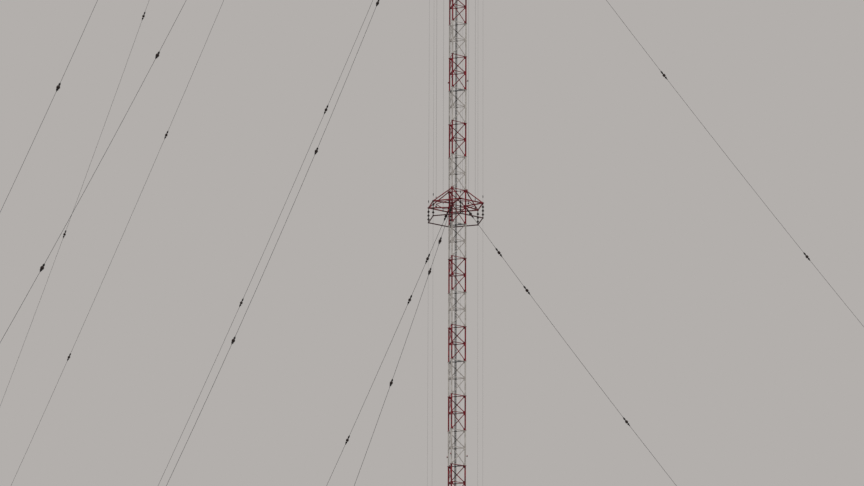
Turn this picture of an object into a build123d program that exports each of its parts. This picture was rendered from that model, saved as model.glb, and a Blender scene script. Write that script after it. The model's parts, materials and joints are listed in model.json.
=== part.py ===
"""Guyed radio mast with a wire cage, at 1:10 of the real one, which is 257 m tall.

Millimetres of the model: 100 mm here is one metre of the real mast. The mast stands on +Z with the
middle of its pedestal's foot at the origin. One leg points along +X, the others are at 120 and 240
degrees. The lattice is banded, one section red and the next white, and each band is its own solid.
"""
from build123d import *
import os
from math import cos, hypot, radians, sin, sqrt

os.makedirs("parts", exist_ok=True)

# Lattice: a triangular shaft of sections with two bays each. Every side has a cross in one bay of
# a section: the upper one on two sides, the lower one on the third, so the crosses are staggered.
face_width = 200.0
section_height = 400.0
section_count = 63
bays = 2
leg_radius = 8.5
rail_depth = 6.0
brace_depth = 7.0
brace_end_gap = 2.4
bracing_thickness = 5.0
crossed_bay = {"northeast": 1, "west": 1, "southeast": 0}

# Base: pedestal, insulator and the foot frame under the legs
pedestal_radius = 190.0
pedestal_height = 34.0
pedestal_top_share = 0.8
bed_plate_radius = 52.0
bed_plate_thickness = 5.0
base_insulator_radius = 24.0
base_insulator_height = 34.0
base_insulator_ribs = 3
waist_share = 0.72
rib_shares = (0.35, 0.6)
foot_cone_height = 18.0
foot_cone_radius = 34.0
foot_cone_spread = 92.0
foot_plate_thickness = 9.0
foot_plate_margin = 14.0

# Inside the shaft
ladder_offset = 34.5
ladder_slide = 10.0
ladder_width = 20.0
stile_depth = 4.0
stile_thickness = 6.0
feeder_width = 7.0
feeder_slide = 16.0
platform_depth = 50.0
platform_thickness = 4.0
platform_steps = (0, 3, 7)
hatch_width = 62.0

# Crowns: hexagonal rings on bracket frames, which hold the wire cage off the legs
ring_radius = 332.0
ring_bar = 8.0
crown_lift = 14.0
arm_width = 8.0
stay_width = 6.0
stay_rise = 186.0
inner_ring_radius = 227.0
inner_ring_bar = 5.0
thin_ring_bar = 6.0
thin_ring_drop = 172.0
bead_radius = 11.5
bead_spacing = 45.0
bead_height = 20.0
bead_shares = (0.35, 0.65)
string_rod_radius = 2.5
foot_crown_section = 0
middle_crown_section = 24
top_crown_section = 34
outer_wire = 2.0
inner_wire = 2.5

# Guys: five levels of three, each guy broken by insulators
guy_width = 4.0
guy_insulator_length = 90.0
guy_insulator_radius = 15.5
guy_insulator_profile = ((-1, 0.3), (-0.74, 0.64), (-0.46, 0.3), (-0.14, 1), (0.14, 1),
                         (0.46, 0.3), (0.74, 0.56), (1, 0.3))
guy_joint_gap = 0.1
guy_step = 1500.0
lug_width = 10.0
turnbuckle_length = 170.0
turnbuckle_radius = 8.0
inner_anchor = 8470.0
middle_anchor = 12634.0
outer_anchor = 16574.0
guys = {
    "level_1": dict(section=12, anchor=inner_anchor, sag=0.028,
                    insulators=(90, 600, 1100, 2870, 6000)),
    "level_2": dict(section=24, anchor=inner_anchor, sag=0.0284,
                    insulators=(90, 600, 1100, 2870, 6000, 9400)),
    "level_3": dict(section=36, anchor=middle_anchor, sag=0.0311,
                    insulators=(90, 600, 1100, 3610, 6180, 9250, 12400, 15600)),
    "level_4": dict(section=48, anchor=outer_anchor, sag=0.0322,
                    insulators=(90, 600, 1100, 2950, 5820, 8860, 12150, 15500, 18780, 22060)),
    "level_5": dict(section=60, anchor=outer_anchor, sag=0.0454,
                    insulators=(90, 600, 1100, 2900, 5560, 8280, 11240, 14330, 17490, 20650, 23800)),
}

# Anchors: a concrete block and a steel plate under each group of guy ends
anchor_height = 110.0
block_length = 420.0
block_width = 260.0
block_height = 50.0
anchor_plate_thickness = 12.0
anchor_plate_radius = 55.0

# Lamps and the head
lamp_sections = (6, 17, 28, 39, 50, 61)
lamp_lift = 100.0
lamp_radius = 7.0
lamp_height = 15.0
lamp_taper = 8.0
lamp_reach = 14.0
lamp_arm_width = 5.0
lamp_arm_thickness = 4.0
head_plate_thickness = 6.0
beacon_radius = 18.0
beacon_height = 42.0
beacon_levels = {0.0: 1.0, 0.7: 1.0, 1.0: 0.6}
rod_radius = 4.0
rod_height = 350.0
rod_taper = 0.4

# Worked out from the sizes above
bay_height = section_height / bays
leg_circle = face_width / sqrt(3)
leg_flat = leg_radius * cos(radians(30))
side_offset = leg_circle / 2
clear_width = face_width - 2 * leg_flat
shaft_clear = side_offset - bracing_thickness / 2
base_height = (pedestal_height + bed_plate_thickness + base_insulator_height
               + foot_cone_height + foot_plate_thickness)
mast_top = base_height + section_count * section_height

legs = {"east": 0, "northwest": 120, "southwest": 240}
sides = {"northeast": 60, "west": 180, "southeast": 300}
colours = {"red": 0, "white": 1}


def point(radius, azimuth, height=0.0):
    return Vector(radius * cos(radians(azimuth)), radius * sin(radians(azimuth)), height)


def section_low(index):
    """Height of a section's lower edge."""
    return base_height + index * section_height


def save(part, name):
    part.label = name
    export_step(part, f"parts/{name}.step")


def copies(piece, places):
    """One piece at many places. The copies touch nowhere, so nothing is fused."""
    return Compound([solid.moved(place) for place in places for solid in piece.solids()])


def banded(first):
    """The sections of one colour, counted from the ground."""
    return range(first, section_count, len(colours))


leg_turns = [Location((0, 0, 0), azimuth) for azimuth in legs.values()]

# Legs, as six-sided tubes with flats towards the bracing, in lengths of one section
with BuildPart() as leg_length:
    with BuildSketch():
        RegularPolygon(leg_radius, 6)
    extrude(amount=section_height)

for leg_name, azimuth in legs.items():
    for colour, first in colours.items():
        places = [Location(point(leg_circle, azimuth, section_low(index))) for index in banded(first)]
        save(copies(leg_length.part, places), f"{leg_name}_leg_{colour}")

# Bracing: a flat panel for each section and side, with a rail at the top of each bay and one cross
# A brace meets the legs at the same gap from its bay's edges, whatever the legs' size
brace_rise = bay_height - 2 * brace_end_gap
brace_diagonal = sqrt(clear_width ** 2 + brace_rise ** 2 - brace_depth ** 2)
brace_end = (brace_depth * (clear_width * brace_diagonal - brace_depth * brace_rise)
             / (clear_width ** 2 - brace_depth ** 2))
brace_reach = clear_width / 2

for side_name, azimuth in sides.items():
    with BuildPart() as bracing_panel:
        with BuildSketch(Plane.YZ):
            with Locations((0, section_height - rail_depth / 2), (0, bay_height)):
                Rectangle(clear_width, rail_depth)
            with Locations((0, crossed_bay[side_name] * bay_height + brace_end_gap)):
                for reach in (brace_reach, -brace_reach):
                    Polygon((-reach, 0), (reach, brace_rise - brace_end), (reach, brace_rise),
                            (-reach, brace_end), align=None)
        extrude(amount=bracing_thickness / 2, both=True)
    for colour, first in colours.items():
        places = [Location(point(side_offset, azimuth, section_low(index)), (0, 0, azimuth))
                  for index in banded(first)]
        save(copies(bracing_panel.part, places), f"{side_name}_bracing_{colour}")

# Base, from the ground up
bed_low = pedestal_height
insulator_low = bed_low + bed_plate_thickness
cone_low = insulator_low + base_insulator_height
foot_low = cone_low + foot_cone_height

with BuildPart() as pedestal:
    with BuildSketch():
        RegularPolygon(pedestal_radius, 8, rotation=22.5)
    with BuildSketch(Plane.XY.offset(pedestal_height)):
        RegularPolygon(pedestal_radius * pedestal_top_share, 8, rotation=22.5)
    loft()
save(pedestal.part, "pedestal")

with BuildPart() as bed_plate:
    with BuildSketch(Plane.XY.offset(bed_low)):
        RegularPolygon(bed_plate_radius, 6)
    extrude(amount=bed_plate_thickness)
save(bed_plate.part, "bed_plate")

with BuildPart() as base_insulator:
    with BuildSketch(Plane.XZ):
        with BuildLine():
            waist = base_insulator_radius * waist_share
            rib_pitch = base_insulator_height / base_insulator_ribs
            outline = [(0, insulator_low), (waist, insulator_low)]
            for rib in range(base_insulator_ribs):
                rib_low = insulator_low + rib * rib_pitch
                outline += [(base_insulator_radius, rib_low + rib_pitch * share)
                            for share in rib_shares]
                outline += [(waist, rib_low + rib_pitch)]
            outline += [(0, cone_low)]
            Polyline(*outline, close=True)
        make_face()
    revolve(axis=Axis.Z)
save(base_insulator.part, "base_insulator")

with BuildPart() as foot_frame:
    with BuildSketch(Plane.XY.offset(cone_low)):
        RegularPolygon(foot_cone_radius, 6)
    with BuildSketch(Plane.XY.offset(foot_low)):
        RegularPolygon(foot_cone_spread, 6)
    loft()
    with BuildSketch(Plane.XY.offset(foot_low)):
        with PolarLocations(leg_circle, 3):
            RegularPolygon(leg_radius + foot_plate_margin, 6)
        RegularPolygon(leg_circle, 3)
    extrude(amount=foot_plate_thickness)
save(foot_frame.part, "foot_frame")

# Ladder, feeder and rest platforms inside the shaft, near the northeast side
ladder_turn = Location((0, 0, 0), sides["northeast"])

with BuildPart() as ladder:
    with BuildSketch(Plane.XY.offset(base_height)):
        with Locations(ladder_turn):
            with Locations((ladder_offset, ladder_slide + ladder_width / 2),
                           (ladder_offset, ladder_slide - ladder_width / 2)):
                Rectangle(stile_depth, stile_thickness)
    extrude(amount=mast_top - base_height)
save(ladder.part, "ladder")

with BuildPart() as feeder:
    with BuildSketch(Plane.XY.offset(base_height)):
        with Locations(ladder_turn):
            with Locations((shaft_clear - feeder_width / 2, feeder_slide)):
                Rectangle(feeder_width, feeder_width)
    extrude(amount=mast_top - base_height)
save(feeder.part, "feeder")

with BuildPart() as rest_platform:
    with BuildSketch():
        RegularPolygon(2 * shaft_clear, 3)
        with PolarLocations(leg_circle, 3):
            RegularPolygon(leg_radius, 6, mode=Mode.SUBTRACT)
        with Locations(ladder_turn):
            with Locations((shaft_clear, 0)):
                Rectangle(platform_depth, 2 * face_width, align=(Align.MAX, Align.CENTER),
                          mode=Mode.INTERSECT)
            with Locations((shaft_clear, feeder_slide)):
                Rectangle(2 * feeder_width, feeder_width, mode=Mode.SUBTRACT)
            with Locations((ladder_offset + stile_depth / 2, ladder_slide)):
                Rectangle(platform_depth, hatch_width, align=(Align.MAX, Align.CENTER),
                          mode=Mode.SUBTRACT)
    extrude(amount=-platform_thickness)
platform_levels = [section + step for section in lamp_sections for step in platform_steps
                   if section + step < section_count]
save(copies(rest_platform.part, [Location((0, 0, section_low(level))) for level in platform_levels]),
     "rest_platforms")

# Crowns: each is made round the height of its ring's middle, then lifted to its section
corner_azimuths = [30 + 60 * corner for corner in range(6)]
inner_azimuths = [60 * corner for corner in range(6)]
bar_to_corner = 0.5 / cos(radians(30))


def hexagon_ring(radius, bar, low, turn):
    """A flat hexagonal ring of a square bar, with its corners' middles at the radius."""
    with BuildPart() as ring:
        with BuildSketch(Plane.XY.offset(low)):
            RegularPolygon(radius + bar * bar_to_corner, 6, rotation=turn)
            RegularPolygon(radius - bar * bar_to_corner, 6, rotation=turn, mode=Mode.SUBTRACT)
        extrude(amount=bar)
    return ring.part


# A bracket frame reaches from a leg to one corner: a level arm, and a stay from higher up the leg
leg_middle = point(leg_circle, 0)
with BuildPart() as bracket:
    for start, width in ((leg_middle, arm_width), (leg_middle + Vector(0, 0, stay_rise), stay_width)):
        run = point(ring_radius, corner_azimuths[0]) - start
        with BuildSketch(Plane(start, z_dir=run)):
            Rectangle(width, width)
        extrude(amount=run.length)
    with BuildSketch(Plane.XY.offset(-arm_width / 2)):
        RegularPolygon(ring_radius - ring_bar * bar_to_corner, 6, rotation=30)
    extrude(amount=stay_rise + 2 * arm_width, mode=Mode.INTERSECT)
    with BuildSketch(Plane.XY.offset(-arm_width / 2)):
        with Locations(leg_middle):
            RegularPolygon(leg_radius, 6)
    extrude(amount=stay_rise + 2 * arm_width, mode=Mode.SUBTRACT)
brackets = Compound([bracket.part.solid(), bracket.part.solid().mirror(Plane.XZ)])

# Under each corner hangs a rod with three beads, down to the thin ring
string_top = -ring_bar / 2
string_middle = (string_top - thin_ring_drop) / 2
string_levels = [(-thin_ring_drop, string_rod_radius)]
for place in (-1, 0, 1):
    bead_low = string_middle + place * bead_spacing - bead_height / 2
    string_levels += [(bead_low, string_rod_radius)]
    string_levels += [(bead_low + bead_height * share, bead_radius) for share in bead_shares]
    string_levels += [(bead_low + bead_height, string_rod_radius)]
string_levels += [(string_top, string_rod_radius)]
with BuildPart() as insulator_string:
    for height, radius in string_levels:
        with BuildSketch(Plane.XY.offset(height)):
            RegularPolygon(radius, 6)
    loft(ruled=True)

ring = hexagon_ring(ring_radius, ring_bar, -ring_bar / 2, 30)
inner_ring = hexagon_ring(inner_ring_radius, inner_ring_bar, ring_bar / 2, 0)
thin_ring = hexagon_ring(ring_radius, thin_ring_bar, -thin_ring_drop - thin_ring_bar, 30)


def crown_height(section):
    """Middle height of a crown's ring, just above its section's middle rail."""
    return section_low(section) + bay_height + crown_lift


for crown, section in (("foot", foot_crown_section), ("middle", middle_crown_section),
                       ("top", top_crown_section)):
    lift = crown_height(section)
    save(copies(ring, [Location((0, 0, lift))]), f"{crown}_crown_ring")
    save(copies(brackets, [Location((0, 0, lift), azimuth) for azimuth in legs.values()]),
         f"{crown}_crown_brackets")
    if section != foot_crown_section:
        save(copies(insulator_string.part, [Location(point(ring_radius, azimuth, lift))
                                            for azimuth in corner_azimuths]),
             f"{crown}_crown_insulators")
        save(copies(thin_ring, [Location((0, 0, lift))]), f"{crown}_crown_thin_ring")
        save(copies(inner_ring, [Location((0, 0, lift))]), f"{crown}_crown_inner_ring")


# Cage wires, from ring to ring
def wires(radius, azimuths, width, low, high):
    with BuildPart() as run:
        Box(width, width, high - low, align=(Align.CENTER, Align.CENTER, Align.MIN))
    return copies(run.part, [Location(point(radius, azimuth, low)) for azimuth in azimuths])


def ring_top(section):
    return crown_height(section) + ring_bar / 2


def thin_ring_low(section):
    return crown_height(section) - thin_ring_drop - thin_ring_bar


save(wires(ring_radius, corner_azimuths, outer_wire,
           ring_top(foot_crown_section), thin_ring_low(middle_crown_section)), "lower_cage_wires")
save(wires(ring_radius, corner_azimuths, outer_wire,
           ring_top(middle_crown_section), thin_ring_low(top_crown_section)), "upper_cage_wires")
save(wires(inner_ring_radius, inner_azimuths, inner_wire,
           ring_top(middle_crown_section) + inner_ring_bar, ring_top(top_crown_section)),
     "inner_cage_wires")


# Guys: each is made in the upright plane of the east leg and turned to the other legs
half_insulator = guy_insulator_length / 2


class GuyLine:
    """The sagging line of a guy, from the middle of its leg to its anchor."""

    def __init__(self, section, anchor, sag, insulators):
        self.top = section_low(section) + bay_height
        self.reach = anchor - leg_circle
        self.rise = self.top - anchor_height
        self.length = hypot(self.reach, self.rise)
        self.sag = sag
        self.insulators = insulators

    def at(self, distance):
        """Point at a distance down the straight line from the leg to the anchor."""
        share = distance / self.length
        drop = 4 * self.sag * self.length * share * (1 - share)
        return Vector(leg_circle + self.reach * share, 0, self.top - self.rise * share - drop)

    def between(self, first, last):
        """Points of the line between two distances, guy_step or so apart, without the two ends."""
        steps = max(1, round((last - first) / guy_step))
        return [self.at(first + (last - first) * step / steps) for step in range(1, steps)]

    def insulator_ends(self, distance):
        """Upper and lower end of the insulator in the middle of a short straight of the line."""
        run = self.at(distance + half_insulator) - self.at(distance - half_insulator)
        run = run.normalized() * half_insulator
        return self.at(distance) - run, self.at(distance) + run


def bar(start, end, width, edges=4):
    """A straight bar of few sides from one point to another, in the plane of the east leg."""
    with BuildPart() as piece:
        with BuildSketch(Plane(start, x_dir=(0, 1, 0), z_dir=end - start)):
            RegularPolygon(width / 2, edges, major_radius=False, rotation=180 / edges)
        extrude(amount=(end - start).length)
    return piece.part


def strand(points, width):
    """A four-sided bar through points in the plane of the east leg, bent a little at each."""
    befores, afters = points[:1] + points[:-1], points[1:] + points[-1:]
    with BuildPart() as piece:
        for before, here, after in zip(befores, points, afters):
            with BuildSketch(Plane(here, x_dir=(0, 1, 0), z_dir=after - before)):
                RegularPolygon(width / 2, 4, major_radius=False, rotation=45)
        loft(ruled=True)
    return piece.part


def trimmed(points, gap):
    """The same line of points with its two ends drawn back by a gap."""
    first = points[0] + (points[1] - points[0]).normalized() * gap
    last = points[-1] + (points[-2] - points[-1]).normalized() * gap
    return [first] + points[1:-1] + [last]


with BuildPart() as guy_insulator:
    for length_share, radius_share in guy_insulator_profile:
        with BuildSketch(Plane.XY.offset(length_share * half_insulator)):
            RegularPolygon(guy_insulator_radius * radius_share, 6)
    loft(ruled=True)

lugs, turnbuckles = [], []
for level, sizes in guys.items():
    line = GuyLine(**sizes)
    uppers, lowers = zip(*[line.insulator_ends(distance) for distance in line.insulators])
    stops = line.insulators + (line.length - turnbuckle_length,)
    turnbuckle_top = line.at(stops[-1])
    insulators = [guy_insulator.part.solid().moved(
        Plane((upper + lower) / 2, x_dir=(0, 1, 0), z_dir=lower - upper).location)
        for upper, lower in zip(uppers, lowers)]
    save(copies(Compound(insulators), leg_turns), f"guy_insulators_{level}")
    lengths = [strand(trimmed([start, *line.between(*span), end], guy_joint_gap), guy_width).solid()
               for start, end, span in zip(lowers, uppers[1:] + (turnbuckle_top,),
                                           zip(stops, stops[1:]))]
    save(copies(Compound(lengths), leg_turns), f"guys_{level}")

    lug_end = trimmed([line.at(0), uppers[0]], guy_joint_gap)[-1]
    with BuildPart() as lug:
        add(bar(line.at(0), lug_end, lug_width))
        with BuildSketch(Plane.XY.offset(lug_end.Z)):
            with Locations(leg_middle):
                RegularPolygon(leg_radius, 6)
                Rectangle(2 * leg_radius, 2 * lug_width, align=(Align.MAX, Align.CENTER))
        extrude(amount=guy_insulator_length, mode=Mode.SUBTRACT)
    lugs.append(lug.part.solid())

    eye = line.at(line.length)
    rim = eye + (turnbuckle_top - eye).normalized() * (anchor_plate_radius + guy_joint_gap)
    turnbuckles.append(bar(turnbuckle_top, rim, 2 * turnbuckle_radius, edges=6).solid())

save(copies(Compound(lugs), leg_turns), "guy_lugs")
save(copies(Compound(turnbuckles), leg_turns), "turnbuckles")

# Anchors
anchors = {"inner": inner_anchor, "middle": middle_anchor, "outer": outer_anchor}
with BuildPart() as anchor_block:
    Box(block_length, block_width, block_height, align=(Align.CENTER, Align.CENTER, Align.MIN))
with BuildPart() as anchor_plate:
    with BuildSketch(Plane.XZ):
        with Locations((0, anchor_height)):
            Circle(anchor_plate_radius)
            Rectangle(2 * anchor_plate_radius, anchor_height - block_height,
                      align=(Align.CENTER, Align.MAX))
    extrude(amount=anchor_plate_thickness / 2, both=True)

for anchor_name, radius in anchors.items():
    save(copies(anchor_block.part, [Location(point(radius, azimuth), (0, 0, azimuth))
                                    for azimuth in legs.values()]), f"{anchor_name}_anchor_blocks")
save(copies(anchor_plate.part, [Location(point(radius, azimuth), (0, 0, azimuth))
                                for radius in anchors.values() for azimuth in legs.values()]),
     "anchor_plates")

# Obstruction lamps on short arms outside the legs
lamp_places = [Location((0, 0, section_low(section) + lamp_lift), azimuth)
               for section in lamp_sections for azimuth in legs.values()]

with BuildPart() as lamp_arm:
    with BuildSketch():
        with Locations(leg_middle):
            Rectangle(leg_radius + lamp_reach + lamp_radius, lamp_arm_width,
                      align=(Align.MIN, Align.CENTER))
            RegularPolygon(leg_radius, 6, mode=Mode.SUBTRACT)
    extrude(amount=lamp_arm_thickness)
save(copies(lamp_arm.part, lamp_places), "lamp_arms")

with BuildPart() as lamp:
    with BuildSketch(Plane.XY.offset(lamp_arm_thickness)):
        with Locations((leg_circle + leg_radius + lamp_reach, 0)):
            RegularPolygon(lamp_radius, 6)
    extrude(amount=lamp_height, taper=lamp_taper)
save(copies(lamp.part, lamp_places), "obstruction_lamps")

# Head
with BuildPart() as head_plate:
    with BuildSketch(Plane.XY.offset(mast_top)):
        with PolarLocations(leg_circle, 3):
            RegularPolygon(leg_radius + foot_plate_margin / 2, 6)
        RegularPolygon(leg_circle, 3)
    extrude(amount=head_plate_thickness)
save(head_plate.part, "head_plate")

beacon_low = mast_top + head_plate_thickness
with BuildPart() as beacon:
    for height_share, radius_share in beacon_levels.items():
        with BuildSketch(Plane.XY.offset(beacon_low + height_share * beacon_height)):
            RegularPolygon(beacon_radius * radius_share, 8)
    loft(ruled=True)
save(beacon.part, "beacon")

with BuildPart() as lightning_rod:
    with BuildSketch(Plane.XY.offset(beacon_low)):
        with Locations(point(leg_circle, legs["northwest"])):
            RegularPolygon(rod_radius, 6)
    extrude(amount=rod_height, taper=rod_taper)
save(lightning_rod.part, "lightning_rod")
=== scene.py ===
# %% [markdown]
# # A guyed radio mast, dressed at 1:10
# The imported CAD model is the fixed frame: it says where every leg, ring and guy is. This lesson
# adds what a draughtsman leaves out, such as flanges, gussets, rungs, glazed insulators and
# weathered paint. The frame is loaded first, because every later place is read from it or worked
# out from it.

# %% Load the frame
import json
from math import atan2, cos, hypot, pi, radians, sin

import bpy
from mathutils import Matrix, Vector

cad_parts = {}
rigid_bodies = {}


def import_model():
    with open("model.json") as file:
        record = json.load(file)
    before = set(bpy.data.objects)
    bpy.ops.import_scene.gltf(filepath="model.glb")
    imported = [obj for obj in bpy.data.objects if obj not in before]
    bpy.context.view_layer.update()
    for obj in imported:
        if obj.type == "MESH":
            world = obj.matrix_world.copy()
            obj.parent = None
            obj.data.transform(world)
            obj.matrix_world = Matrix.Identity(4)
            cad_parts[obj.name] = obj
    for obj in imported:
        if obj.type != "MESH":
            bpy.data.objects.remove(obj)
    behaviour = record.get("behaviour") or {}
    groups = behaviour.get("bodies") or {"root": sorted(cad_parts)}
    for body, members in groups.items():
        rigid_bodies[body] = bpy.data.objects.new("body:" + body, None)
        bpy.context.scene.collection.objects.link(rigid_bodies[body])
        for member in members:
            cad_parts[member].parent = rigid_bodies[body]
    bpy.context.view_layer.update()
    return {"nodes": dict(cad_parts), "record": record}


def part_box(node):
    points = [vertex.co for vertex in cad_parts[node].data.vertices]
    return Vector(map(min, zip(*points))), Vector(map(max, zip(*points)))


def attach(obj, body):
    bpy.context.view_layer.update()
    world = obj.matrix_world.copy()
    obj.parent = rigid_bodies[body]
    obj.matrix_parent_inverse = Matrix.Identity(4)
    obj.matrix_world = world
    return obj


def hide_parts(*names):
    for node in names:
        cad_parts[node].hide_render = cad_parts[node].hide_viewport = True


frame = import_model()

print("frame loaded,", len(frame["nodes"]), "CAD nodes")

# %% [markdown]
# ## The camera
# The photograph was taken from the ground with a long lens, almost 380 m from the mast. A long
# lens flattens depth, so the camera's distance matters as much as its field of view. It could be
# placed by eye, but the lattice has known sections, so its place was fitted to them, and the
# angles are kept.

# %% Place the camera
camera_place = Vector((-6.334, -37.252, 0.176))
focal_pixels = 3407.5
photo_width = 864
sensor_width = 36.0
view_turn = -0.1684
camera_yaw, camera_pitch, camera_roll = 0.0071, 0.2412, 0.0042

bpy.ops.object.camera_add(location=camera_place)
camera = bpy.context.object
camera.name = "photo_camera"
camera.data.sensor_width = sensor_width
camera.data.lens = focal_pixels * sensor_width / photo_width
camera.data.clip_end = 500
camera.rotation_euler = (Matrix.Rotation(view_turn + camera_yaw, 3, "Z")
                         @ Matrix.Rotation(pi / 2 + camera_pitch, 3, "X")
                         @ Matrix.Rotation(camera_roll, 3, "Z")).to_euler()
bpy.context.scene.camera = camera
print("camera", round(camera.data.lens, 1), "mm lens")

# %% [markdown]
# ## Sizes
# The model is a tenth of the real mast. Sizes are written as real metres times `real`, so each
# one can be checked against a drawing. What the frame's boxes tell is read from them.

# %% Sizes of the lattice
real = 0.1
section_height = 4.0 * real
section_count = 63
bay_height = section_height / 2
face_width = 2.0 * real

leg_low, leg_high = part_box("east_leg_red")
leg_radius = (leg_high.x - leg_low.x) / 2
leg_circle = (leg_high.x + leg_low.x) / 2
side_offset = leg_circle / 2
base_height = leg_low.z
mast_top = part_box("head_plate")[0].z
panel_half = 0.025 * real
clear_half = face_width / 2 - leg_radius * cos(pi / 6)

legs = {"east": 0, "northwest": 120, "southwest": 240}
sides = {"northeast": 60, "west": 180, "southeast": 300}
crossed_bay = {"northeast": 1, "west": 1, "southeast": 0}
colour_sections = {"red": range(0, section_count, 2), "white": range(1, section_count, 2)}
print("base", round(base_height, 3), "top", round(mast_top, 3), "leg circle", round(leg_circle, 4))

# %% [markdown]
# ## Small helpers
# Blender's operators act on whatever is selected, and loading the frame leaves the CAD nodes
# selected. So a helper first deselects everything. The other helpers turn a round piece on the Z
# axis, shape a plate with cut corners, and copy one modelled piece to many places. A place is a
# matrix: a move to a point after a turn about Z.

# %% Helpers for selecting
def pick(*pieces):
    """Select these pieces alone, the first one active."""
    bpy.ops.object.select_all(action="DESELECT")
    for piece in pieces:
        piece.select_set(True)
    bpy.context.view_layer.objects.active = pieces[0]


def applied(piece, kind, **settings):
    """Add a modifier with these settings and apply it."""
    pick(piece)
    modifier = piece.modifiers.new(kind.lower(), kind)
    for name, value in settings.items():
        setattr(modifier, name, value)
    bpy.ops.object.modifier_apply(modifier=modifier.name)
    return piece


# %% Helpers for places
quarter = {axis: Matrix.Rotation(pi / 2, 4, axis) for axis in "XYZ"}
half = {axis: Matrix.Rotation(pi, 4, axis) for axis in "XYZ"}


def shift(x, y, z):
    """A move along the axes."""
    return Matrix.Translation((x, y, z))


def polar(radius, azimuth, height=0.0):
    return Vector((radius * cos(radians(azimuth)), radius * sin(radians(azimuth)), height))


def at(place, turn=0.0):
    """A move to a place after a turn about Z, in degrees."""
    return Matrix.Translation(place) @ Matrix.Rotation(radians(turn), 4, "Z")


def spread(radius, azimuths, height=0.0, facing=True):
    """Moves to places round the mast's axis, each turned to face outwards if it should."""
    return [at(polar(radius, azimuth, height), azimuth if facing else 0.0) for azimuth in azimuths]


def along(start, run):
    """A move that lays a piece's Z axis along a run from its start."""
    return Matrix.Translation(start) @ run.to_track_quat("Z", "Y").to_matrix().to_4x4()


def stretched(start, end, length):
    """A move that lays a piece of this length from one point to another, stretched to fit."""
    return along(start, end - start) @ Matrix.Diagonal((1, 1, (end - start).length / length, 1))


def joint_height(index):
    """Height of the joint below a section."""
    return base_height + index * section_height


# %% Helpers for round pieces
def profile(shares, wide=real, tall=real, low=0.0):
    """Steps for a round piece, from shares of its width and height above its lower end."""
    return [(share * wide, low + lift * tall) for share, lift in shares]


def turned(name, steps, vertices=12):
    """A closed round piece on the Z axis, extruded ring by ring through (radius, height) steps."""
    bpy.ops.object.select_all(action="DESELECT")
    radius, height = steps[0]
    bpy.ops.mesh.primitive_circle_add(vertices=vertices, radius=radius, fill_type="NGON",
                                      location=(0, 0, height))
    piece = bpy.context.object
    piece.name = name
    bpy.ops.object.mode_set(mode="EDIT")
    for (before, low), (after, high) in zip(steps, steps[1:]):
        bpy.ops.mesh.extrude_region_move(TRANSFORM_OT_translate={"value": (0, 0, high - low)})
        share = after / before
        bpy.ops.transform.resize(value=(share, share, 1), center_override=(0, 0, high))
    bpy.ops.mesh.select_all(action="SELECT")
    bpy.ops.mesh.normals_make_consistent(inside=False)
    bpy.ops.object.mode_set(mode="OBJECT")
    bpy.ops.object.transform_apply(location=True, rotation=True, scale=True)
    return piece


def bar(name, radius, low, high, vertices):
    """A straight round bar on the Z axis."""
    return turned(name, [(radius, low), (radius, high)], vertices)


# %% Helper for plates
def plate(name, width, depth, thickness, corner=0.0, place=(0, 0, 0)):
    """A flat plate in the XY plane with its corners cut back, solid about its middle plane."""
    bpy.ops.object.select_all(action="DESELECT")
    bpy.ops.mesh.primitive_plane_add(size=1, location=place)
    piece = bpy.context.object
    piece.name = name
    bpy.ops.object.mode_set(mode="EDIT")
    bpy.ops.transform.resize(value=(width, depth, 1), center_override=place)
    if corner:
        bpy.ops.mesh.bevel(offset=corner, affect="VERTICES", clamp_overlap=True)
    bpy.ops.object.mode_set(mode="OBJECT")
    bpy.ops.object.transform_apply(location=True, rotation=True, scale=True)
    return applied(piece, "SOLIDIFY", thickness=thickness, offset=0)


# %% Helper for repeats
def placed(piece, moves, name):
    """One modelled piece at many places, each copy with its own mesh, joined and named."""
    copies = []
    for move in moves:
        copy = piece.copy()
        copy.data = piece.data.copy()
        copy.data.transform(move)
        bpy.context.collection.objects.link(copy)
        copies.append(copy)
    bpy.data.objects.remove(piece)
    pick(*copies)
    bpy.ops.object.join()
    whole = bpy.context.object
    whole.name = name
    return whole


def moved(piece, move):
    """The same piece, its mesh moved."""
    piece.data.transform(move)
    return piece


def joined(name, *pieces):
    """Several pieces as one."""
    pick(*pieces)
    bpy.ops.object.join()
    bpy.context.object.name = name
    return bpy.context.object


# %% Helper for finishing
def smooth(piece, angle=40):
    """Smooth shading where faces meet at a shallow angle."""
    pick(piece)
    bpy.ops.object.shade_smooth_by_angle(angle=radians(angle))
    return piece


# %% [markdown]
# ## Materials
# One function turns a written hex colour to the linear values that Blender works in, and one adds
# a shader node with its settings and links. Every pattern is read in object coordinates, which
# are metres of the model here, so a pattern's scale is one over its size in metres. Chips, grain
# and zinc cells are drawn coarser than real ones, because at this distance they wouldn't show.

# %% Helpers for materials
def hex_colour(code):
    """An sRGB hex colour as linear RGBA."""
    shares = [int(code[place:place + 2], 16) / 255 for place in (0, 2, 4)]
    return [share / 12.92 if share <= 0.04045 else ((share + 0.055) / 1.055) ** 2.4
            for share in shares] + [1.0]


def connect(tree, node, *numbered, **named):
    """Set or link a node's inputs, by order or name. A node given here links its first output."""
    sockets = list(zip(node.inputs, numbered))
    sockets += [(node.inputs[name.replace("_", " ")], value) for name, value in named.items()]
    for socket, value in sockets:
        if isinstance(value, bpy.types.Node):
            value = next(output for output in value.outputs if output.enabled)
        if isinstance(value, bpy.types.NodeSocket):
            tree.links.new(value, socket)
        else:
            socket.default_value = value


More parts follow.
